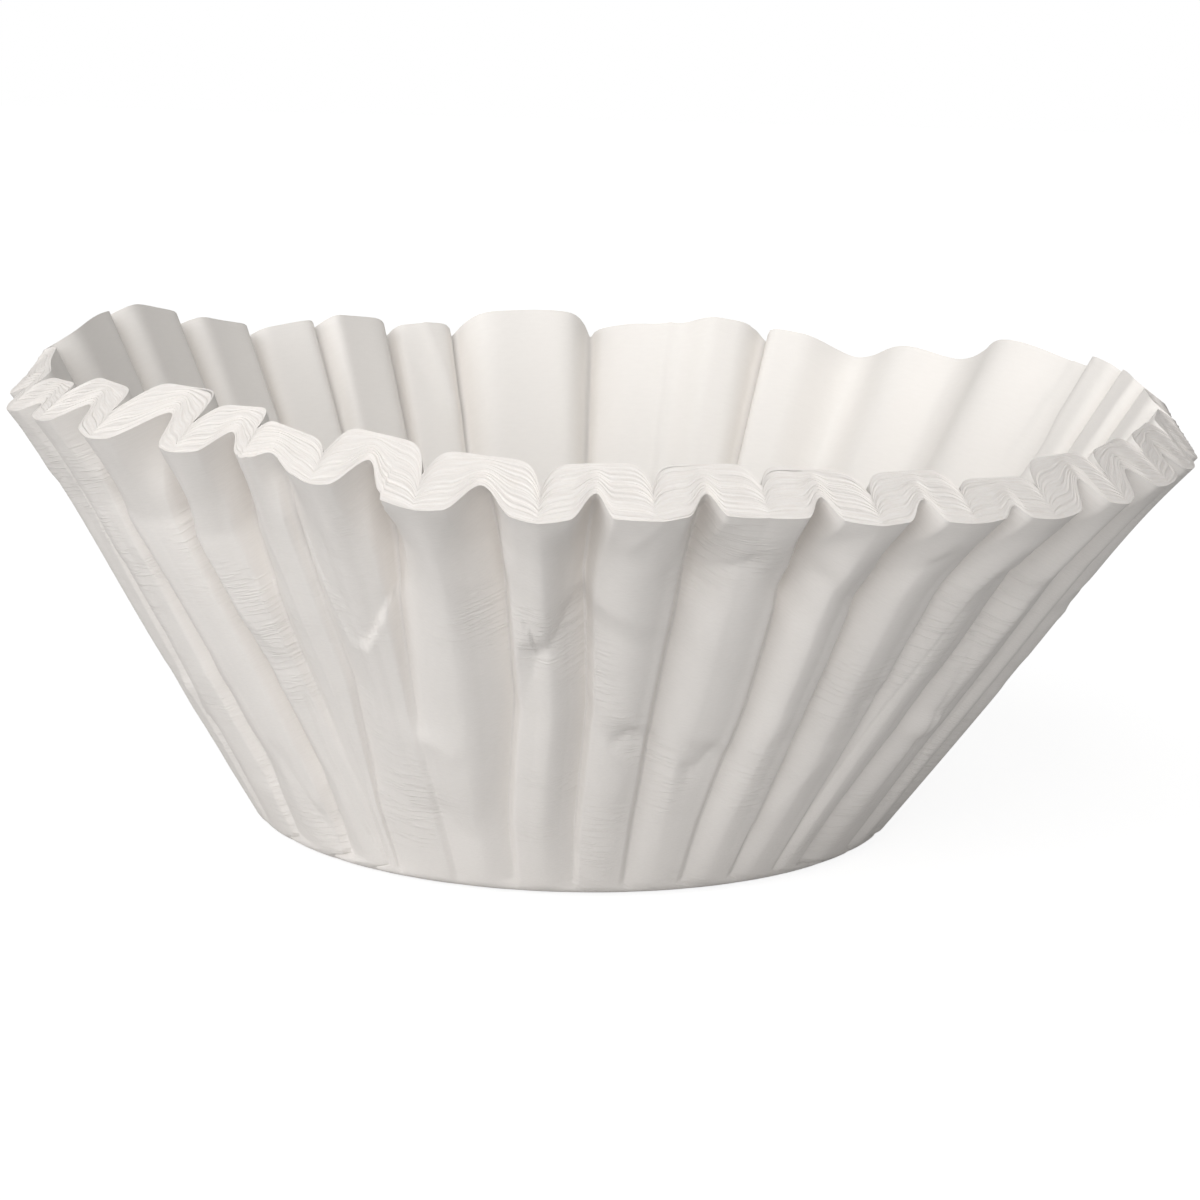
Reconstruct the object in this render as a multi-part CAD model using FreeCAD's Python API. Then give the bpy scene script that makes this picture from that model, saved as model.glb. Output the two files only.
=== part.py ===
import FreeCAD, Part
import math
import os

# A nest of fluted, flat-bottomed basket coffee filters, pressed into each other.
# Millimetres, +Z up, origin at the centre of the underside. The photographed side is -Y.

SIZES = [
    ("base_radius", 42.6, "bottom, out to the corner where the outermost wall starts"),
    ("wall_slant", 63.2, "outermost sheet, from the bottom corner up to its free edge"),
    ("wall_lean", 33.8, "degrees that the wall leans out from upright"),
    ("corner_radius", 3.0, "rounding between the bottom and the wall"),
    ("nest_rise", 2.7, "height of the pile of bottoms, which lifts the innermost sheet"),
    ("nest_inset", 2.8, "how much narrower the innermost sheet is than the outermost"),
    ("slid_up", 3.8, "extra height of the inner sheets at the two ends where they slid up"),
    ("foot_share", 0.1, "flute depth left at the bottom corner, as a share of the rim's"),
    ("fold_growth", 0.8, "power of the climb by which a fold deepens towards the rim"),
]

# One row for each flute, anticlockwise seen from above. A row holds the angle (degrees) and
# depth (mm, at the rim) of the fold that points in, the climb at which that fold dies out,
# and how far it has wandered round by the bottom of the wall (degrees). Then come the angle
# of the crest that follows it and the extra lean (degrees) at that crest.
FLUTES = [
    (-168, 3.0, 0.0, 0.0, -162, -4.0),
    (-156, 2.5, 0.0, 1.0, -151, -5.0),
    (-146, 4.5, 0.0, 3.5, -139, -4.5),
    (-133, 6.5, 0.0, 4.0, -127.5, -5.0),
    (-123.5, 4.0, 0.3, 3.0, -120, -5.5),
    (-117.5, 2.0, 0.0, -1.0, -112, -3.0),
    (-108, 5.0, 0.4, 0.0, -102.5, -1.0),
    (-97.5, 4.5, 0.0, -1.0, -92.5, 0.5),
    (-88, 4.0, 0.0, -1.0, -83.5, 0.0),
    (-79, 3.5, 0.0, -2.0, -74.5, 0.0),
    (-69.5, 3.5, 0.0, -1.5, -65.5, 2.0),
    (-60.5, 3.5, 0.0, -2.0, -57, 2.5),
    (-52, 2.0, 0.0, -2.5, -48.5, 3.0),
    (-41.5, 4.5, 0.0, -7.0, -38, 3.0),
    (-33, 4.0, 0.0, -3.0, -28, 2.0),
    (-22, 3.5, 0.0, -5.0, -17, 2.0),
    (-12, 3.0, 0.0, -2.0, -8, 2.5),
    (-3, 4.0, 0.2, 0.0, -0.5, 2.5),
    (3, 5.0, 0.0, 0.0, 7.5, 2.5),
    (12, 5.0, 0.0, 0.0, 18, 1.5),
    (30, 7.0, 0.0, 2.0, 41.5, 1.5),
    (48.5, 5.0, 0.0, 0.0, 56.5, 3.0),
    (62, 6.0, 0.0, -2.0, 67.5, 0.0),
    (72, 6.5, 0.2, 0.0, 79, -5.5),
    (85, 2.5, 0.0, 0.0, 89.5, 0.0),
    (97, 8.5, 0.0, 1.0, 106.5, 0.0),
    (112, 4.5, 0.3, 0.0, 115, 0.0),
    (121.5, 6.0, 0.0, -2.0, 126, -3.5),
    (131, 4.5, 0.0, 0.0, 135, -0.5),
    (141, 6.0, 0.0, 0.0, 148, -3.0),
    (156, 5.5, 0.0, 1.0, 163, -4.0),
    (171, 4.5, 0.0, 0.0, 180, -4.5),
]

# Where round the rim the inner sheets slid up: middle and half width, in degrees.
SLID_UP_ENDS = [(163, 18), (15, 25)]

# How the two halves of a flute run from the fold out to the crests: corners, each a share of
# the way round and a share of the fold's depth. Outside, the crest is broad and the fold
# sharp, with a long slope before it and a short steep one after it. Inside, the sheets fill
# the fold, which is broad, and pinch into a sharp crest.
OUTSIDE_HALVES = [
    [(0, 1), (0.15, 0.6), (0.35, 0.28), (0.7, 0.05), (1, 0)],
    [(0, 1), (0.1, 0.8), (0.25, 0.2), (0.55, 0), (1, 0)],
]
INSIDE_HALF = [(0, 1), (0.35, 0.98), (0.65, 0.8), (0.87, 0.45), (1, 0)]
INSIDE_HALVES = [INSIDE_HALF, INSIDE_HALF]

# Heights of the outlines on the wall, as shares of the slant.
OUTSIDE_CLIMBS = [0.25, 0.5, 0.75, 1]
INSIDE_CLIMBS = [0.35, 0.7, 1]


def make_sheet(doc):
    sheet = doc.addObject("Spreadsheet::Sheet", "Sizes")
    for row, (alias, value, meaning) in enumerate(SIZES, start=1):
        sheet.set(f"A{row}", alias)
        sheet.set(f"B{row}", str(value))
        sheet.set(f"C{row}", meaning)
        sheet.setAlias(f"B{row}", alias)
    doc.recompute()
    return sheet


def read_sizes(sheet):
    return {alias: float(sheet.get(alias)) for alias, value, meaning in SIZES}


def polar(angle, radius, height):
    turn = math.radians(angle)
    return FreeCAD.Vector(radius * math.cos(turn), radius * math.sin(turn), height)


def slid_up(size, angle):
    """Extra height of the innermost sheet's free edge at an angle round the rim."""
    share = 0
    for middle, half_width in SLID_UP_ENDS:
        away = (angle - middle + 180) % 360 - 180
        share += math.exp(-(away / half_width) ** 2)
    return size["slid_up"] * share


def on_wall(size, inner, climb, angle, depth, lean):
    """Point of the outermost or innermost sheet, at a climb of 0 at the corner to 1 at the rim."""
    tilt = math.radians(size["wall_lean"] + lean)
    slant = size["wall_slant"] * climb
    radius = size["base_radius"] + slant * math.sin(tilt) - depth * math.cos(tilt)
    height = slant * math.cos(tilt) + depth * math.sin(tilt)
    if inner:
        radius -= size["nest_inset"]
        height += size["nest_rise"] + slid_up(size, angle) * climb
    return polar(angle, radius, height)


def fold_share(size, climb, fold_end):
    """Share of a fold's rim depth that is left at a climb."""
    run = max(0, (climb - fold_end) / (1 - fold_end))
    return size["foot_share"] + (1 - size["foot_share"]) * run ** size["fold_growth"]


def crest_after(row):
    """Angle, extra lean and wander of the crest between a fold and the next one."""
    wander, angle, lean = FLUTES[row][3:]
    return angle, lean, (wander + FLUTES[(row + 1) % len(FLUTES)][3]) / 2


def outline(place, halves):
    """Corners right round the nest; place(angle, depth, fold_end, lean, wander) gives each."""
    corners = []
    angle, lean, wander = crest_after(-1)
    crest = (angle - 360, lean, wander)
    for row, (fold_angle, depth, fold_end, wander, *_) in enumerate(FLUTES):
        crest_before, crest = crest, crest_after(row)
        way = (fold_angle - crest_before[0]) / (crest[0] - crest_before[0])
        fold = (fold_angle, crest_before[1] + way * (crest[1] - crest_before[1]), wander)
        before, after = halves
        for end, steps in (crest_before, before[:0:-1]), (crest, after[:-1]):
            for way, share in steps:
                angle, lean, wander = (a + way * (b - a) for a, b in zip(fold, end))
                corners.append(place(angle, share * depth, fold_end, lean, wander))
    return corners


def wall_outline(size, inner, climb):
    def place(angle, depth, fold_end, lean, wander):
        if not inner:
            angle += wander * (1 - climb)
        return on_wall(size, inner, climb, angle, depth * fold_share(size, climb, fold_end), lean)
    return outline(place, INSIDE_HALVES if inner else OUTSIDE_HALVES)


def corner_outlines(size, inner):
    """The flat's edge, the middle of the rounded corner, and where the wall starts."""
    half_turn = (math.pi / 2 - math.radians(size["wall_lean"])) / 2
    setback = size["corner_radius"] * math.tan(half_turn)
    cut_off = size["corner_radius"] * (1 / math.cos(half_turn) - 1)
    corner = size["base_radius"] - (size["nest_inset"] if inner else 0)
    floor = size["nest_rise"] if inner else 0
    halves = INSIDE_HALVES if inner else OUTSIDE_HALVES

    def at_foot(angle, wander):
        return angle if inner else angle + wander

    def on_flat(angle, depth, fold_end, lean, wander):
        return polar(at_foot(angle, wander), corner - setback, floor)

    def on_round(angle, depth, fold_end, lean, wander):
        inward = cut_off * math.sin(half_turn) + depth * size["foot_share"] / 2
        radius, height = corner - inward, floor + cut_off * math.cos(half_turn)
        return polar(at_foot(angle, wander), radius, height)

    start = wall_outline(size, inner, setback / size["wall_slant"])
    return [outline(on_flat, halves), outline(on_round, halves), start]


def sheet_outlines(size, inner):
    """All outlines of the outermost or innermost sheet, from the flat's edge up to the rim."""
    climbs = INSIDE_CLIMBS if inner else OUTSIDE_CLIMBS
    return corner_outlines(size, inner) + [wall_outline(size, inner, climb) for climb in climbs]


def flat_face(corners):
    return Part.Face(Part.makePolygon([*corners, corners[0]]))


def creased_band(lower, upper):
    """Paper between two outlines, creased along the shorter diagonal of every panel."""
    faces = []
    for place in range(len(lower)):
        a, b = lower[place - 1], lower[place]
        c, d = upper[place - 1], upper[place]
        if a.distanceToPoint(d) < b.distanceToPoint(c):
            faces += [flat_face([a, b, d]), flat_face([a, d, c])]
        else:
            faces += [flat_face([a, b, c]), flat_face([b, d, c])]
    return faces


def nest_solid(size):
    """One skin up the outside, over the rim and down the inside, closed by two flat discs."""
    outlines = sheet_outlines(size, inner=False) + sheet_outlines(size, inner=True)[::-1]
    faces = [flat_face(outlines[0]), flat_face(outlines[-1])]
    for lower, upper in zip(outlines, outlines[1:]):
        faces += creased_band(lower, upper)
    shell = Part.makeShell(faces)
    shell.sewShape()
    return Part.makeSolid(shell)


def build(doc, size):
    nest = doc.addObject("Part::Feature", "filter_stack")
    nest.Shape = nest_solid(size)
    nest.Placement = FreeCAD.Placement()
    nest.Label = "filter_stack"
    return nest


def check(doc, nest):
    for item in doc.Objects:
        if "Invalid" in item.State or "Error" in item.State:
            raise RuntimeError(f"{item.Name} did not recompute: {item.State}")
    if nest.Shape.isNull() or not nest.Shape.isValid():
        raise RuntimeError(f"{nest.Label} has no valid shape")


doc = FreeCAD.newDocument("paper_coffee_filter")
sheet = make_sheet(doc)
nest = build(doc, read_sizes(sheet))
doc.recompute()
check(doc, nest)
os.makedirs("parts", exist_ok=True)
nest.Shape.exportStep(f"parts/{nest.Label}.step")
print(nest.Label, "volume", round(nest.Shape.Volume), "box", nest.Shape.BoundBox)
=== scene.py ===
import math

import bpy
import numpy as np
from mathutils import Matrix, Vector


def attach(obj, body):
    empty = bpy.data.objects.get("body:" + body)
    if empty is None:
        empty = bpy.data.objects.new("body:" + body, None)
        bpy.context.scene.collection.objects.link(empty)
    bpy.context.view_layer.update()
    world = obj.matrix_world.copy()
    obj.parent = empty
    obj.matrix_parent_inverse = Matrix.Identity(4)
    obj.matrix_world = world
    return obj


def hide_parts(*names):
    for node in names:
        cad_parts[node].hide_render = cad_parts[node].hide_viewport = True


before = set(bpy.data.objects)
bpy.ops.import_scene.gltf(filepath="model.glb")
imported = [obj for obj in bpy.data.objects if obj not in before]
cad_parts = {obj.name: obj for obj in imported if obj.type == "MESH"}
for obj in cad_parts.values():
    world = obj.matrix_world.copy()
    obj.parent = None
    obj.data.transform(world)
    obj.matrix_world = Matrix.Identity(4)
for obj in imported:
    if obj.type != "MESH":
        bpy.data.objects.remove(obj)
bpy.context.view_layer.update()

MM = 0.001
rng = np.random.default_rng(11)

# Sizes of the nest, as in the CAD source.
BASE_RADIUS = 42.6 * MM
WALL_SLANT = 63.2 * MM
WALL_LEAN = 33.8
CORNER_RADIUS = 3.0 * MM
NEST_RISE = 2.7 * MM
NEST_INSET = 2.8 * MM
SLID_UP = 3.8 * MM
FOOT_SHARE = 0.1
FOLD_GROWTH = 0.8
SLID_UP_ENDS = [(163, 18), (15, 25)]

# One row for each flute, anticlockwise seen from above: angle and depth (mm) of the fold that
# points in, the climb at which it dies out, how many degrees its flank before and after it
# takes up at the rim, then angle and extra lean of the crest that follows.
FLUTES = [
    (-168, 3.0, 0.0, 3.5, 3.5, -162, -4.0),
    (-156, 2.5, 0.0, 3.0, 3.0, -151, -5.0),
    (-146, 4.5, 0.0, 3.0, 4.5, -139, -4.5),
    (-133, 6.5, 0.0, 4.0, 4.0, -127.5, -5.0),
    (-123.5, 4.0, 0.3, 1.6, 3.0, -120, -5.5),
    (-117.5, 2.0, 0.0, 2.0, 3.8, -112, -3.0),
    (-108, 5.0, 0.4, 2.5, 2.6, -102.5, -1.0),
    (-97.5, 4.5, 0.0, 2.8, 3.2, -92.5, 0.5),
    (-88, 4.0, 0.0, 2.2, 1.4, -83.5, 0.0),
    (-79, 3.5, 0.0, 2.0, 1.3, -74.5, 0.0),
    (-69.5, 3.5, 0.0, 2.0, 1.0, -65.5, 2.0),
    (-60.5, 3.5, 0.0, 2.8, 0.9, -57, 2.5),
    (-52, 2.0, 0.0, 2.3, 0.9, -48.5, 3.0),
    (-41.5, 4.5, 0.0, 4.0, 1.4, -38, 3.0),
    (-33, 4.0, 0.0, 3.8, 2.6, -28, 2.0),
    (-22, 3.5, 0.0, 3.0, 2.5, -17, 2.0),
    (-12, 3.0, 0.0, 2.5, 2.0, -8, 2.5),
    (-3, 4.0, 0.2, 2.0, 1.2, -0.5, 2.5),
    (3, 5.0, 0.0, 1.8, 2.5, 7.5, 2.5),
    (12, 5.0, 0.0, 2.5, 3.0, 18, 1.5),
    (30, 7.0, 0.0, 5.0, 5.0, 41.5, 1.5),
    (48.5, 5.0, 0.0, 3.5, 4.0, 56.5, 3.0),
    (62, 6.0, 0.0, 3.0, 3.0, 67.5, 0.0),
    (72, 6.5, 0.2, 2.5, 4.0, 79, -5.5),
    (85, 2.5, 0.0, 3.0, 2.5, 89.5, 0.0),
    (97, 8.5, 0.0, 4.0, 5.0, 106.5, 0.0),
    (112, 4.5, 0.3, 3.0, 1.8, 115, 0.0),
    (121.5, 6.0, 0.0, 3.5, 2.5, 126, -3.5),
    (131, 4.5, 0.0, 2.5, 2.2, 135, -0.5),
    (141, 6.0, 0.0, 3.0, 4.0, 148, -3.0),
    (156, 5.5, 0.0, 4.5, 4.0, 163, -4.0),
    (171, 4.5, 0.0, 4.5, 4.5, 180, -4.5),
]

# How far the folds have wandered along the wall: a fold's angle at the rim, and its shift in
# degrees at climbs of 0.2, 0.5 and 0.8. Folds in between shift in proportion.
DRIFTS = [
    (-168, 0, 0, 0),
    (-156, 1, 0, -1),
    (-146, 3.5, 1.3, -1.2),
    (-133, 4, 1.5, -2),
    (-123.5, 3, 0, -2),
    (-117.5, -0.9, 1.2, 0),
    (-108, 0, 0, 0.5),
    (-97.5, -0.8, 1.4, 1.2),
    (-88, -0.9, 0, -0.8),
    (-79, -1.8, -1.4, -0.5),
    (-69.5, -1.7, -0.4, -0.4),
    (-60.5, -2, -2.2, -2),
    (-52, -2.3, -2, -2),
    (-41.5, -7, -4.5, -2),
    (-33, -2, -1, 0),
    (-22, -5, -4, -2.5),
    (0, 0, 0, 0),
    (30, 2, 0, -1),
    (62, -2, -1, 1),
    (97, 1, 2, 0),
    (121.5, -2, 0, 1),
    (156, 1, 1, -1),
]
DRIFT_CLIMBS = (0, 0.2, 0.5, 0.8, 1)

STEEP_AFTER = (-97.5, -88)  # folds whose steep flank comes after them; at the others, before
FILLED_CRESTS = {79: 0.8, 56.5: 1.5, 41.5: 1.5, 18: 1.0}  # crest angle, how far in (mm)
LONGEST_FLANK = 0.95       # share of a half flute that a flank takes up at most, at the rim
SHORT_RUN = 0.2            # share of a half flute that the steep flank takes up
EDGE_SHARE = 0.28          # share of the fold's depth down to the edge where it drops off
LEDGE_POWER = 1.9          # how fast the ledge beyond that edge levels out
LONG_RUN = 0.97            # share of a half flute that the long slope takes up
LONG_POWER = 1.6           # how fast the long slope levels out
RIM_BAND = 0.16            # climb below the rim over which the folds turn into the wall's form
CREVICE_POWER = 7          # how narrow the crests of the innermost sheet are

FLARE = 0.8 * MM           # how far the wall lies in from straight, where it does so most
FLARE_POWER = 3.1          # how near the rim that is
CREST_BULGE = 0.45 * MM    # how proud a crest stands at the rim
PINCH_SHARE = 0.45         # how much deeper a fold is pinched, as a share of its depth
PINCH_MOST = 2 * MM
PINCH_CLIMB = 0.9          # where it is pinched most
PINCH_SPREAD = 0.16        # how far in climb the pinch spreads
PINCH_END = 0.05           # climb below the rim over which the pinch runs out

# Creases of the outermost sheet: points of a line as angle and climb, going up or to the
# right, how far the paper stands proud along it (mm), how much more on its left side than on
# its right (mm), and over how many mm that fades away to the left and to the right.
CREASES = [
    # the pocket left of the middle, with its torn lip
    ([(-113.5, 0.6), (-112.5, 0.62), (-111.5, 0.62), (-110.5, 0.64), (-109, 0.69),
      (-107.5, 0.73), (-106, 0.76)], -0.25, -0.75, 6, 3),
    ([(-106, 0.74), (-105.5, 0.9), (-105.5, 1.0)], -0.4, -1.0, 3.5, 6),
    ([(-106, 0.15), (-106.5, 0.4), (-106, 0.77)], 0.4, 0, 2.5, 5),
    ([(-113.5, 0.58), (-116, 0.75), (-118, 0.96)], 0.45, 0.3, 2.5, 6),
    ([(-118.5, 0.17), (-116, 0.4), (-113.5, 0.6)], -0.45, 0, 3, 4),
    # long creases of the left side
    ([(-130.5, 0.05), (-135.5, 0.3), (-137, 0.55), (-140, 0.8), (-142, 1.0)], -0.4, 0, 3, 3),
    ([(-154.5, 0.8), (-154, 1.0)], 0.25, 0, 3, 3),
    ([(-131, 0.88), (-131.5, 1.0)], 0.25, 0, 3, 3),
    ([(-124.5, 0.5), (-128, 0.65), (-131, 0.86)], 0.6, 0.1, 5, 2.5),
    ([(-121.5, 0.03), (-124, 0.3), (-124.5, 0.53)], -0.4, 0.15, 2.5, 3),
    ([(-130.5, 0.22), (-130.5, 0.36), (-128.5, 0.52)], 0.2, 0, 3, 3),
    ([(-124.5, 0.6), (-123, 0.83), (-122, 1.0)], -0.35, 0, 4, 4),
    ([(-128.5, 0.62), (-124.5, 0.48)], -0.35, 0, 2, 3),
    # the middle flutes, with their dents
    ([(-95, 0.5), (-95.5, 0.97)], 0.4, 0, 2, 6),
    ([(-90, 0.74), (-91, 0.96)], -0.5, 0, 4, 2.5),
    ([(-95, 0.66), (-93, 0.65), (-91.5, 0.68), (-89, 0.78)], -1.5, 0, 2.2, 6),
    ([(-85.5, 0.42), (-84, 0.44), (-82.5, 0.47)], -0.8, 0, 2, 4),
    ([(-107, 0.25), (-106.5, 0.19), (-104.5, 0.15), (-100.5, 0.13)], -0.25, 0, 3, 3),
    ([(-100.5, 0.2), (-100, 0.5), (-102, 1.0)], 0.35, 0, 8, 5),
    # creases that climb to the right across the flutes of the right side
    ([(-80.5, 0.78), (-77, 0.84), (-73, 0.91)], -1.0, 0, 2, 7),
    ([(-71.5, 0.76), (-69, 0.82), (-66.5, 0.87)], -0.9, 0, 2, 7),
    ([(-64.5, 0.76), (-60, 0.85), (-56, 0.93)], -0.8, 0, 2, 6),
    ([(-51, 0.75), (-44, 0.86), (-40.5, 0.99)], -0.7, 0, 2, 5),
    ([(-77, 0.36), (-74.5, 0.36), (-72.5, 0.43)], -0.7, 0, 2, 4),
    ([(-62.5, 0.16), (-57.5, 0.43)], 0.35, 0, 4, 3),
    ([(-58, 0.51), (-54, 0.55)], -0.3, 0, 2.5, 4),
    ([(-54.5, 0.15), (-52.5, 0.52), (-50.5, 0.8), (-46.5, 0.96)], -0.4, 0.1, 2.5, 4),
    ([(-42.5, 0.2), (-41.5, 0.33), (-43, 0.71), (-38.5, 0.81), (-34.5, 0.87)],
     -0.55, 0.15, 2.5, 4.5),
    ([(-34, 0.1), (-31, 0.7), (-28, 0.85)], -0.4, 0, 3, 4),
]

# The same on the innermost sheet, proud towards the middle of the nest.
INSIDE_CREASES = [
    ([(109, 0.76), (112, 0.88), (115, 1.0)], -0.5, 0, 5, 3),
    ([(107.5, 0.72), (108.5, 0.79), (111, 1.0)], 0.7, 0.3, 2.5, 4),
    ([(92, 0.66), (94.5, 1.0)], 0.25, 0, 5, 4),
    ([(58.5, 0.6), (57.5, 1.0)], -0.35, 0, 4, 5),
    ([(55, 0.6), (54, 1.0)], -0.25, 0, 4, 5),
    ([(41.5, 0.6), (42, 0.85), (41.5, 1.0)], -0.4, 0, 3, 5),
    ([(37, 0.6), (35.5, 1.0)], -0.3, 0, 4, 4),
    ([(22, 0.7), (20.5, 1.0)], 0.5, 0.3, 3, 4),
    ([(15, 0.8), (14, 1.0)], 0.5, 0.3, 3, 3),
]

MEAN_RUN_OUT = 35          # mm by which the wall moves out from its foot to the rim
CREASE_REACH = 4           # fades away from a crease that are worked out
CREASE_END = 0.25          # share of its length over which a crease dies out at an end
CREASE_FOOT = 0.1          # climb below which all creases fade
CUT_OFF_AT_RIM = 0.97      # a crease that ends above this climb runs on over the rim
CUT_OFF_AT_FOOT = 0.06     # a crease that starts below this climb comes from the foot

SMALL_CREASES = 90
SMALL_CLIMBS = (0.12, 0.92)
SMALL_LENGTHS = (4, 14)    # mm
SMALL_LEAN = 0.5           # how far they lean from upright (radians)
SMALL_BOW = 0.6            # how far their middle bows out (degrees)
SMALL_PROUD = 0.22         # mm
SMALL_FADES = (1.5, 4)     # mm

FRONT_FOLDS = (-172, 8)    # angles of the folds on the side of the camera
FRONT_STEP = 0.24          # degrees between columns of the mesh, on that side
BACK_STEP = 0.6
LEAST_COLUMNS = 7          # on each half flute
CORNER_ROWS = 5            # rows round the corner between the bottom and the wall
OUTSIDE_ROWS = 84          # rows up the outermost sheet
INSIDE_ROWS = 64           # rows up the innermost sheet

EDGES = 24                 # sheet edges that show across the rim
RIM_WIDTH = 4.5 * MM
EDGE_SHELF = 0.5           # share of the pitch between edges that an edge takes up
EDGE_WANDER = 0.12         # how far an edge wanders, as a share of the pitch
GAP_PLACE = 0.75           # where between edges the gap lies, as a share of the pitch
GAP_LEAST = 0.005 * MM     # depth of the gaps
GAP_MORE = 0.025 * MM
RIM_WAVE = 0.3 * MM        # how far up and down the rim runs
EDGE_WAVE = 0.04 * MM      # how far each edge departs from that
EDGE_OFFSET = 0.02 * MM
WAVY_FROM = 0.93           # climb above which the sheets follow the rim's wave
MAP_RADIUS = 70 * MM       # radius at which the paper's arc is measured

LAMP_SPREAD = 50           # degrees, so that shadows are soft
PAPER_ROUGHNESS = 0.85
PAPER_SHINE = 0.15
MOTTLE = (0.36, 0.64)      # range of the noise in which the paper's tone changes


def wrapped(angle):
    """The same angle, between -180 and 180 degrees."""
    return (angle + 180) % 360 - 180


def make_columns():
    """The mesh columns: their angles, their shares of the way from fold to crest, and what
    holds for the fold and crest that they lie between."""
    names = ("angle", "way", "run", "short", "depth", "fold_end", "fill", "soft")
    parts = {name: [] for name in names}
    last_crest = FLUTES[-1][5] - 360
    for fold, depth, fold_end, before, after, crest, lean in FLUTES:
        for end, flank, forwards in (last_crest, before, False), (crest, after, True):
            width = abs(end - fold)
            in_front = FRONT_FOLDS[0] < fold < FRONT_FOLDS[1]
            step = FRONT_STEP if in_front else BACK_STEP
            count = max(LEAST_COLUMNS, round(width / step))
            crest_angle = wrapped(end)
            way = np.arange(count) / count if forwards else 1 - np.arange(count) / count
            parts["angle"].append(fold + way * (end - fold))
            parts["way"].append(way)
            parts["run"].append(np.full(count, min(LONGEST_FLANK, flank / width)))
            parts["depth"].append(np.full(count, depth * MM))
            parts["fold_end"].append(np.full(count, fold_end))
            parts["short"].append(np.full(count, forwards == (fold in STEEP_AFTER)))
            parts["fill"].append(np.full(count, FILLED_CRESTS.get(crest_angle, 0) * MM))
            parts["soft"].append(np.full(count, crest_angle in FILLED_CRESTS))
        last_crest = crest
    return {name: np.concatenate(values) for name, values in parts.items()}


COLUMNS = make_columns()
ANGLE = COLUMNS["angle"]
COUNT = len(ANGLE)


def round_the_rim(values_at):
    """A value for each column, from values at some angles and straight lines in between."""
    at, values = np.array(values_at, float).T
    at = np.concatenate([[at[-1] - 360], at, [at[0] + 360]])
    values = np.concatenate([[values[-1]], values, [values[0]]])
    return np.interp(ANGLE, at, values)


LEAN = round_the_rim([(row[5], row[6]) for row in FLUTES])
TILT = np.radians(WALL_LEAN + LEAN)


def bell(middle, half_width):
    """For each column, 1 at the middle angle and fading away on both sides of it."""
    return np.exp(-(wrapped(ANGLE - middle) / half_width) ** 2)


SLIDE = SLID_UP * sum(bell(middle, half) for middle, half in SLID_UP_ENDS)


def wave(count_low, count_high, terms=5):
    """A random smooth curve round the nest, about -1 to 1, with that many waves to a turn."""
    total = np.zeros(COUNT)
    for number in rng.integers(count_low, count_high + 1, terms):
        total += rng.normal() * np.cos(np.radians(ANGLE) * number + rng.uniform(0, 2 * math.pi))
    return total / math.sqrt(terms)


def outside_share(climb):
    """How deep each column lies in its fold on the outermost sheet, 0 to 1. Below the rim one
    flank of a fold drops off a sharp edge, and the other is a long slope."""
    way, run = COLUMNS["way"], COLUMNS["run"]
    at_rim = 0.5 + 0.5 * np.cos(math.pi * np.clip(way / run, 0, 1))
    ledge = EDGE_SHARE * (1 - np.clip((way - SHORT_RUN) / (1 - SHORT_RUN), 0, 1)) ** LEDGE_POWER
    drop = EDGE_SHARE + (1 - EDGE_SHARE) * (1 - way / SHORT_RUN)
    short = np.where(way < SHORT_RUN, drop, ledge)
    long = np.clip(1 - way / LONG_RUN, 0, 1) ** LONG_POWER
    on_wall = np.where(COLUMNS["short"], short, long)
    down = min(1, (1 - climb) / RIM_BAND)
    down = down * down * (3 - 2 * down)
    return at_rim + down * (on_wall - at_rim)


def inside_depth():
    """How far in each column lies at the rim of the innermost sheet, where folds are broad
    and crests are narrow crevices, some of them filled up."""
    sharp = 1 - COLUMNS["way"] ** CREVICE_POWER
    smooth = 0.5 + 0.5 * np.cos(math.pi * COLUMNS["way"])
    share = np.where(COLUMNS["soft"], smooth, sharp)
    return COLUMNS["fill"] + share * (COLUMNS["depth"] - COLUMNS["fill"])


def depth_left(climb):
    """Share of a fold's rim depth that is left at a climb."""
    run = np.clip((climb - COLUMNS["fold_end"]) / (1 - COLUMNS["fold_end"]), 0, 1)
    return FOOT_SHARE + (1 - FOOT_SHARE) * run ** FOLD_GROWTH


def pinch(climb):
    """How much deeper folds of the outermost sheet are pinched just under the rim."""
    most = np.minimum(PINCH_SHARE * COLUMNS["depth"], PINCH_MOST)
    near = math.exp(-((climb - PINCH_CLIMB) / PINCH_SPREAD) ** 2)
    return most * near * min(1, (1 - climb) / PINCH_END)


def mean_radius(climb):
    """Radius of the wall (mm) at a climb, its flutes and leans left out."""
    return BASE_RADIUS / MM + MEAN_RUN_OUT * climb


def small_creases(count):
    """Short faint creases, scattered over the wall at random, most of them near upright."""
    made = []
    for _ in range(count):
        angle, climb = rng.uniform(-178, 178), rng.uniform(*SMALL_CLIMBS)
        lean, length = rng.normal(0, SMALL_LEAN), rng.uniform(*SMALL_LENGTHS)
        across = math.degrees(length * math.sin(lean) / mean_radius(climb))
        up = length * math.cos(lean) / (WALL_SLANT / MM)
        bow = rng.normal(0, SMALL_BOW)
        middle = (angle + across / 2 + bow, min(1, climb + up / 2))
        made.append(([(angle, climb), middle, (angle + across, min(1, climb + up))],
                     rng.normal(0, SMALL_PROUD), 0,
                     rng.uniform(*SMALL_FADES), rng.uniform(*SMALL_FADES)))
    return made


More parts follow.
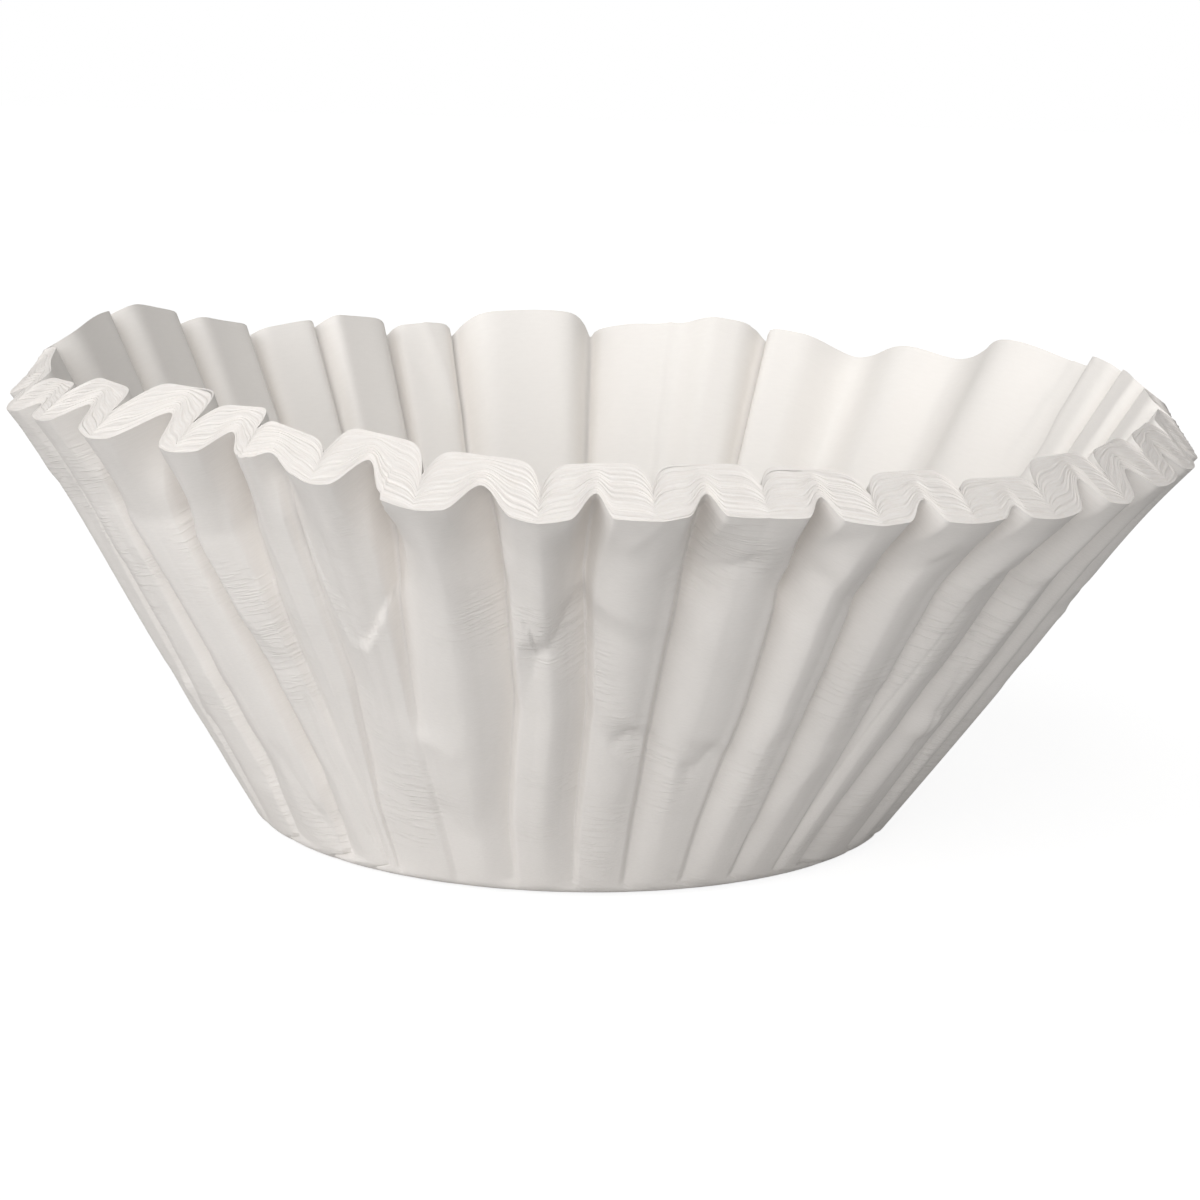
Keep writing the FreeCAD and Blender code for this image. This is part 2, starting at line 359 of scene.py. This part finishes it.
def crease(angle, climb, line, proud_by, step, left_fade, right_fade):
    """How proud (mm) one crease makes a row of points at those angles and one climb."""
    points = np.array(line, float)
    middle = points.mean(axis=0)
    scale = np.array([math.radians(1) * mean_radius(middle[1]), WALL_SLANT / MM])
    points = (points - middle) * scale
    x = wrapped(angle - middle[0]) * scale[0]
    y = (climb - middle[1]) * scale[1]
    reach = CREASE_REACH * max(left_fade, right_fade)
    proud = np.zeros(len(angle))
    if not points[:, 1].min() - reach < y < points[:, 1].max() + reach:
        return proud
    near = (x > points[:, 0].min() - reach) & (x < points[:, 0].max() + reach)
    x = x[near]
    nearest = np.full(len(x), np.inf)
    along = np.zeros(len(x))
    leftward = np.zeros(len(x), bool)
    passed = 0.0
    for start, end in zip(points, points[1:]):
        leg = end - start
        length = np.hypot(*leg)
        dx, dy = x - start[0], y - start[1]
        way = np.clip((dx * leg[0] + dy * leg[1]) / length ** 2, 0, 1)
        away = np.hypot(dx - way * leg[0], dy - way * leg[1])
        closer = away < nearest
        nearest = np.where(closer, away, nearest)
        along = np.where(closer, passed + way * length, along)
        leftward = np.where(closer, leg[0] * dy - leg[1] * dx > 0, leftward)
        passed += length
    share = along / passed
    fade = 1 if line[-1][1] > CUT_OFF_AT_RIM else np.clip((1 - share) / CREASE_END, 0, 1)
    if line[0][1] > CUT_OFF_AT_FOOT:
        fade = fade * np.clip(share / CREASE_END, 0, 1)
    proud[near] = fade * np.where(leftward,
                                  (proud_by + step / 2) * np.exp(-nearest / left_fade),
                                  (proud_by - step / 2) * np.exp(-nearest / right_fade))
    return proud


ALL_CREASES = CREASES + small_creases(SMALL_CREASES)


def wrinkle(climb):
    """How proud all creases together make the outermost sheet at a climb."""
    angle = ANGLE + drift(climb)
    total = sum(crease(angle, climb, *row) for row in ALL_CREASES)
    return total * MM * min(1, climb / CREASE_FOOT)


def inner_wrinkle(climb):
    """How far creases bring the innermost sheet in from its plain form at a climb."""
    total = sum(crease(ANGLE, climb, *row) for row in INSIDE_CREASES)
    return total * MM * min(1, climb / CREASE_FOOT)


def bulge(climb):
    """How far a crest of the outermost sheet stands proud between its two folds."""
    past = np.clip((COLUMNS["way"] - COLUMNS["run"]) / (1 - COLUMNS["run"] + 1e-6), 0, 1)
    return CREST_BULGE * past * (2 - past) * climb


def flare(climb):
    """How far the outermost sheet lies in from a straight wall: it turns out near its edge."""
    return FLARE * math.sin(math.pi * climb ** FLARE_POWER)


def drift(climb):
    """Degrees by which each column has moved round at a climb, along with the folds."""
    low, mid, high = (round_the_rim([(row[0], row[1 + k]) for row in DRIFTS]) for k in range(3))
    knots = (low, low, mid, high, np.zeros(COUNT))
    at = min(np.searchsorted(DRIFT_CLIMBS, climb, side="right"), len(DRIFT_CLIMBS) - 1) - 1
    below, above = DRIFT_CLIMBS[at:at + 2]
    way = (climb - below) / (above - below)
    return knots[at] + way * (knots[at + 1] - knots[at])


def ring(radius, height, shift=0.0):
    """One row of points right round, moved on by a shift in degrees."""
    turn = np.radians(ANGLE + shift)
    return np.stack([radius * np.cos(turn), radius * np.sin(turn), height], axis=1)


def on_sheet(level, climb, up):
    """One row of points on the sheet at a level, 0 outermost to 1 innermost, at a climb. up
    is how far above that climb they lie, along the wall."""
    inward = level * inside_depth() * depth_left(climb)
    if np.any(np.less(level, 1)):
        fold = outside_share(climb) * (COLUMNS["depth"] * depth_left(climb) + pinch(climb))
        inward = inward + (1 - level) * (fold + flare(climb) - bulge(climb) - wrinkle(climb))
    if np.any(np.greater(level, 0)):
        inward = inward + level * inner_wrinkle(climb)
    slant = WALL_SLANT * climb + up
    radius = BASE_RADIUS + slant * np.sin(TILT) - inward * np.cos(TILT) - level * NEST_INSET
    height = slant * np.cos(TILT) + inward * np.sin(TILT)
    height = height + level * (NEST_RISE + SLIDE * climb)
    return ring(radius, height, (1 - level) * drift(climb))


def corner_rows(level):
    """Rows of the rounded corner, from the flat's edge to the start of the wall."""
    half_turn = (math.pi / 2 - math.radians(WALL_LEAN)) / 2
    setback = CORNER_RADIUS * math.tan(half_turn)
    floor = level * NEST_RISE
    corner = BASE_RADIUS - level * NEST_INSET
    foot = outside_share(0) * COLUMNS["depth"] if level == 0 else inside_depth()
    rows = []
    for step in range(CORNER_ROWS):
        turn = 2 * half_turn * step / CORNER_ROWS
        radius = corner - setback + CORNER_RADIUS * math.sin(turn)
        height = floor + CORNER_RADIUS * (1 - math.cos(turn))
        inward = foot * FOOT_SHARE * (step / CORNER_ROWS) ** 2
        rows.append(ring(radius - inward, np.full(COUNT, height)))
    return rows, setback / WALL_SLANT


def grid_mesh(name, rows, arc, along, centre=None):
    """A sheet of quads from rows of points right round, with map coordinates in metres:
    arc round the nest, along up the paper. centre closes the first row with a disc."""
    points = np.concatenate(rows)
    count, across = len(rows), len(arc)
    here = np.arange(count * across).reshape(count, across)
    right = np.roll(here, -1, axis=1)
    quads = np.stack([here[:-1], right[:-1], right[1:], here[1:]], axis=-1).reshape(-1, 4)
    faces = quads.tolist()
    verts = points.tolist()
    if centre is not None:
        hub = len(verts)
        verts.append(list(centre))
        faces += [(hub, b, a) for a, b in zip(here[0].tolist(), right[0].tolist())]
    mesh = bpy.data.meshes.new(name)
    mesh.from_pydata(verts, [], faces)
    paper = mesh.attributes.new("paper", "FLOAT_VECTOR", "POINT")
    flat = np.zeros((len(verts), 3), np.float32)
    flat[:count * across, 0] = np.tile(arc, count)
    flat[:count * across, 1] = np.repeat(along, across)
    paper.data.foreach_set("vector", flat.ravel())
    mesh.polygons.foreach_set("use_smooth", np.ones(len(faces), bool))
    mesh.update()
    piece = bpy.data.objects.new(name, mesh)
    bpy.context.scene.collection.objects.link(piece)
    return piece


ARC = np.radians(ANGLE) * MAP_RADIUS
EDGE_COMMON = RIM_WAVE * wave(3, 14)
EDGE_UP = [EDGE_COMMON + EDGE_WAVE * wave(5, 40) + EDGE_OFFSET * rng.normal()
           for _ in range(EDGES)]


def wall_sheet(name, level, row_count, edge_up):
    """The outermost (level 0) or innermost sheet (level 1), with its flat bottom."""
    rows, start = corner_rows(level)
    climbs = np.linspace(start, 1, row_count)
    for climb in climbs:
        near_edge = max(0, (climb - WAVY_FROM) / (1 - WAVY_FROM)) ** 2
        rows.append(on_sheet(level, climb, edge_up * near_edge))
    corner_along = (np.arange(CORNER_ROWS) - CORNER_ROWS + 1) * MM
    along = np.concatenate([corner_along, WALL_SLANT * climbs])
    return grid_mesh(name, rows, ARC, along, centre=(0, 0, level * NEST_RISE))


def rim_edges():
    """The edges of the sheets across the rim, as ledges with a shallow gap after each."""
    rows = []
    along = []
    pitch = 1 / EDGES
    for number, top in enumerate(EDGE_UP):
        low = number * pitch
        high = low + EDGE_SHELF * pitch
        wander = EDGE_WANDER * pitch * wave(4, 30)
        first, last = number == 0, number == EDGES - 1
        rows.append(on_sheet(0.0 if first else low + wander, 1, top))
        rows.append(on_sheet(1.0 if last else high + wander, 1, top))
        along += [low, high]
        if not last:
            gap = GAP_LEAST + GAP_MORE * np.abs(wave(6, 50))
            middle = low + GAP_PLACE * pitch
            rows.append(on_sheet(middle + wander, 1, top - gap))
            along.append(middle)
    return grid_mesh("rim_edges", rows, ARC, np.array(along) * RIM_WIDTH)


def grain(nodes, links, paper, scale, detail, roughness=0.55):
    """Noise drawn out over the sheet; scale holds its waves a metre round and up the paper."""
    stretch = nodes.new("ShaderNodeVectorMath")
    stretch.operation = "MULTIPLY"
    stretch.inputs[1].default_value = (*scale, 1)
    noise_node = nodes.new("ShaderNodeTexNoise")
    noise_node.inputs["Scale"].default_value = 1
    noise_node.inputs["Detail"].default_value = detail
    noise_node.inputs["Roughness"].default_value = roughness
    links.new(paper.outputs["Vector"], stretch.inputs[0])
    links.new(stretch.outputs[0], noise_node.inputs["Vector"])
    return noise_node.outputs["Fac"]


def bump(nodes, links, height, distance, strength, under=None):
    """Relief of that distance (m), on top of the relief under it."""
    made = nodes.new("ShaderNodeBump")
    made.inputs["Distance"].default_value = distance
    made.inputs["Strength"].default_value = strength
    links.new(height, made.inputs["Height"])
    if under is not None:
        links.new(under, made.inputs["Normal"])
    return made.outputs["Normal"]


def ramp(nodes, links, value, stops):
    """Colours for a value, from stops that hold a position and a colour each."""
    made = nodes.new("ShaderNodeValToRGB")
    spots = made.color_ramp.elements
    while len(spots) < len(stops):
        spots.new(0.5)
    for spot, (position, colour) in zip(spots, stops):
        spot.position = position
        spot.color = (*colour, 1)
    links.new(value, made.inputs["Fac"])
    return made.outputs["Color"]


def crepe(nodes, links, paper):
    """Fine wrinkles that run round the nest, in patches."""
    black, white = (0, 0, 0), (1, 1, 1)
    fine, broad = (90, 1100), (45, 40)
    lines = ramp(nodes, links, grain(nodes, links, paper, fine, 2),
                 [(0.455, black), (0.5, white), (0.545, black)])
    patches = ramp(nodes, links, grain(nodes, links, paper, broad, 2),
                   [(0.5, black), (0.6, white)])
    product = nodes.new("ShaderNodeMath")
    product.operation = "MULTIPLY"
    links.new(lines, product.inputs[0])
    links.new(patches, product.inputs[1])
    return product.outputs["Value"]


def paper_material(name, light, dark, grains, wrinkled=0.0):
    """Matt paper. light and dark are the two tones of its mottling; grains holds the scale,
    detail, height (m) and strength of each grain in its surface; wrinkled is the height (m)
    of its fine wrinkles."""
    mat = bpy.data.materials.new(name)
    mat.use_nodes = True
    nodes, links = mat.node_tree.nodes, mat.node_tree.links
    shader = nodes["Principled BSDF"]
    shader.inputs["Roughness"].default_value = PAPER_ROUGHNESS
    shader.inputs["Specular IOR Level"].default_value = PAPER_SHINE
    paper = nodes.new("ShaderNodeAttribute")
    paper.attribute_name = "paper"
    mottling = grain(nodes, links, paper, grains[0][0], 4, 0.7)
    tones = ramp(nodes, links, mottling, [(MOTTLE[0], dark), (MOTTLE[1], light)])
    links.new(tones, shader.inputs["Base Color"])
    normal = None
    if wrinkled:
        normal = bump(nodes, links, crepe(nodes, links, paper), wrinkled, 0.6)
    for scale, detail, height, strength in grains:
        normal = bump(nodes, links, grain(nodes, links, paper, scale, detail),
                      height, strength, normal)
    links.new(normal, shader.inputs["Normal"])
    return mat


def dress(piece, mat):
    """Gives a piece its paper and ties it to the body."""
    piece.data.materials.append(mat)
    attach(piece, "root")


def camera():
    """The photograph's view, fitted to points of the bottom edge and of the rim."""
    distance = 360 * MM
    target = Vector((3.25, 0, 27.83)) * MM
    elevation, roll, lens = 0.1997, 0.0243, 80.42
    back = Vector((0, -math.cos(elevation), math.sin(elevation)))
    right = Vector((1, 0, 0))
    up = Vector((0, math.sin(elevation), math.cos(elevation)))
    x_axis = math.cos(roll) * right + math.sin(roll) * up
    y_axis = math.cos(roll) * up - math.sin(roll) * right
    data = bpy.data.cameras.new("camera")
    data.lens, data.sensor_width = lens, 36
    data.clip_start, data.clip_end = 0.02, 20
    cam = bpy.data.objects.new("camera", data)
    turn = Matrix((x_axis, y_axis, back)).transposed().to_4x4()
    cam.matrix_world = Matrix.Translation(target + back * distance) @ turn
    bpy.context.scene.collection.objects.link(cam)
    bpy.context.scene.camera = cam


def lamp(name, side, elevation, strength):
    """A broad soft lamp, as even all over the floor as a bank of studio lights. side is in
    degrees to the left of the camera, and elevation in degrees above the floor."""
    data = bpy.data.lights.new(name, "SUN")
    data.angle = math.radians(LAMP_SPREAD)
    data.energy = strength
    light = bpy.data.objects.new(name, data)
    turn, rise = math.radians(side), math.radians(elevation)
    away = Vector((-math.sin(turn) * math.cos(rise), -math.cos(turn) * math.cos(rise),
                   math.sin(rise)))
    light.location = away
    light.rotation_mode = "QUATERNION"
    light.rotation_quaternion = away.to_track_quat("Z", "Y")
    bpy.context.scene.collection.objects.link(light)


def grey_shader(nodes, kind, grey, strength=None):
    """A shader node of one even grey."""
    made = nodes.new(kind)
    made.inputs["Color"].default_value = (grey, grey, grey, 1)
    if strength is not None:
        made.inputs["Strength"].default_value = strength
    return made


def seen_and_lit(nodes, links, seen, lit, out):
    """Shows the camera one shader, and lights the object with the other."""
    mix = nodes.new("ShaderNodeMixShader")
    path = nodes.new("ShaderNodeLightPath")
    links.new(path.outputs["Is Camera Ray"], mix.inputs[0])
    links.new(lit.outputs[0], mix.inputs[1])
    links.new(seen.outputs[0], mix.inputs[2])
    links.new(mix.outputs[0], out.inputs["Surface"])


def world_light(strength):
    """Even light from all round; the camera sees plain white."""
    world = bpy.data.worlds.new("studio")
    world.use_nodes = True
    nodes, links = world.node_tree.nodes, world.node_tree.links
    nodes.clear()
    out = nodes.new("ShaderNodeOutputWorld")
    lit = grey_shader(nodes, "ShaderNodeBackground", 1, strength)
    seen = grey_shader(nodes, "ShaderNodeBackground", 1, 1)
    seen_and_lit(nodes, links, seen, lit, out)
    bpy.context.scene.world = world


def floor():
    """A plain floor that looks near white and throws back less light than it shows."""
    size = 4.0
    gap = 0.2 * MM
    bounce, shade, glow_strength = 0.55, 0.3, 0.86
    mesh = bpy.data.meshes.new("floor")
    mesh.from_pydata([(-size, -size, 0), (size, -size, 0), (size, size, 0), (-size, size, 0)],
                     [], [(0, 1, 2, 3)])
    ground = bpy.data.objects.new("floor", mesh)
    ground.location.z = -gap
    bpy.context.scene.collection.objects.link(ground)
    mat = bpy.data.materials.new("floor")
    mat.use_nodes = True
    nodes, links = mat.node_tree.nodes, mat.node_tree.links
    nodes.clear()
    out = nodes.new("ShaderNodeOutputMaterial")
    lit = grey_shader(nodes, "ShaderNodeBsdfDiffuse", bounce)
    shaded = grey_shader(nodes, "ShaderNodeBsdfDiffuse", shade)
    glow = grey_shader(nodes, "ShaderNodeEmission", 1, glow_strength)
    seen = nodes.new("ShaderNodeAddShader")
    links.new(shaded.outputs[0], seen.inputs[0])
    links.new(glow.outputs[0], seen.inputs[1])
    seen_and_lit(nodes, links, seen, lit, out)
    mesh.materials.append(mat)


camera()
world_light(0.25)
lamp("key", 28, 55, 0.6)
lamp("side", 62, 14, 1.05)
lamp("front", 5, 10, 1.55)
lamp("fill", -75, 50, 0.22)
floor()

# The outer sheet, the inside sheet and the cut edges are one paper given three tones, lighter
# in that order: partly painted light, brighter where the inside of the nest and the top of the
# rim catch more light.
outside_paper = paper_material("crepe_paper", (0.885, 0.85, 0.815), (0.86, 0.825, 0.79), [
    ((1100, 4500), 2, 0.05 * MM, 0.6),
    ((60, 90), 3, 0.5 * MM, 0.4),
    ((160, 220), 2, 0.2 * MM, 0.35),
], wrinkled=0.08 * MM)
# Painted light: the inside sheet's tones are lighter than the outer sheet's, standing in for
# the brighter light inside the nest.
inside_paper = paper_material("crepe_paper_inside", (0.91, 0.88, 0.845), (0.895, 0.865, 0.83), [
    ((500, 2600), 3, 0.04 * MM, 0.2),
    ((60, 90), 3, 0.5 * MM, 0.2),
])
# The cut edges get the lightest tones: partly painted light for the well-lit top of the rim,
# and partly the cream of the cut fibre in their darker tone.
edge_paper = paper_material("cut_edges", (0.94, 0.905, 0.87), (0.89, 0.84, 0.795), [
    ((400, 7000), 4, 0.04 * MM, 0.5),
    ((2500, 3500), 3, 0.1 * MM, 0.5),
])
outer = wall_sheet("outer_sheet", 0, OUTSIDE_ROWS, EDGE_UP[0])
inner = wall_sheet("inner_sheet", 1, INSIDE_ROWS, EDGE_UP[-1])
inner.data.flip_normals()
rim = rim_edges()
for piece, mat in (outer, outside_paper), (inner, inside_paper), (rim, edge_paper):
    dress(piece, mat)
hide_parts("filter_stack")

bpy.context.scene.view_settings.view_transform = "Standard"
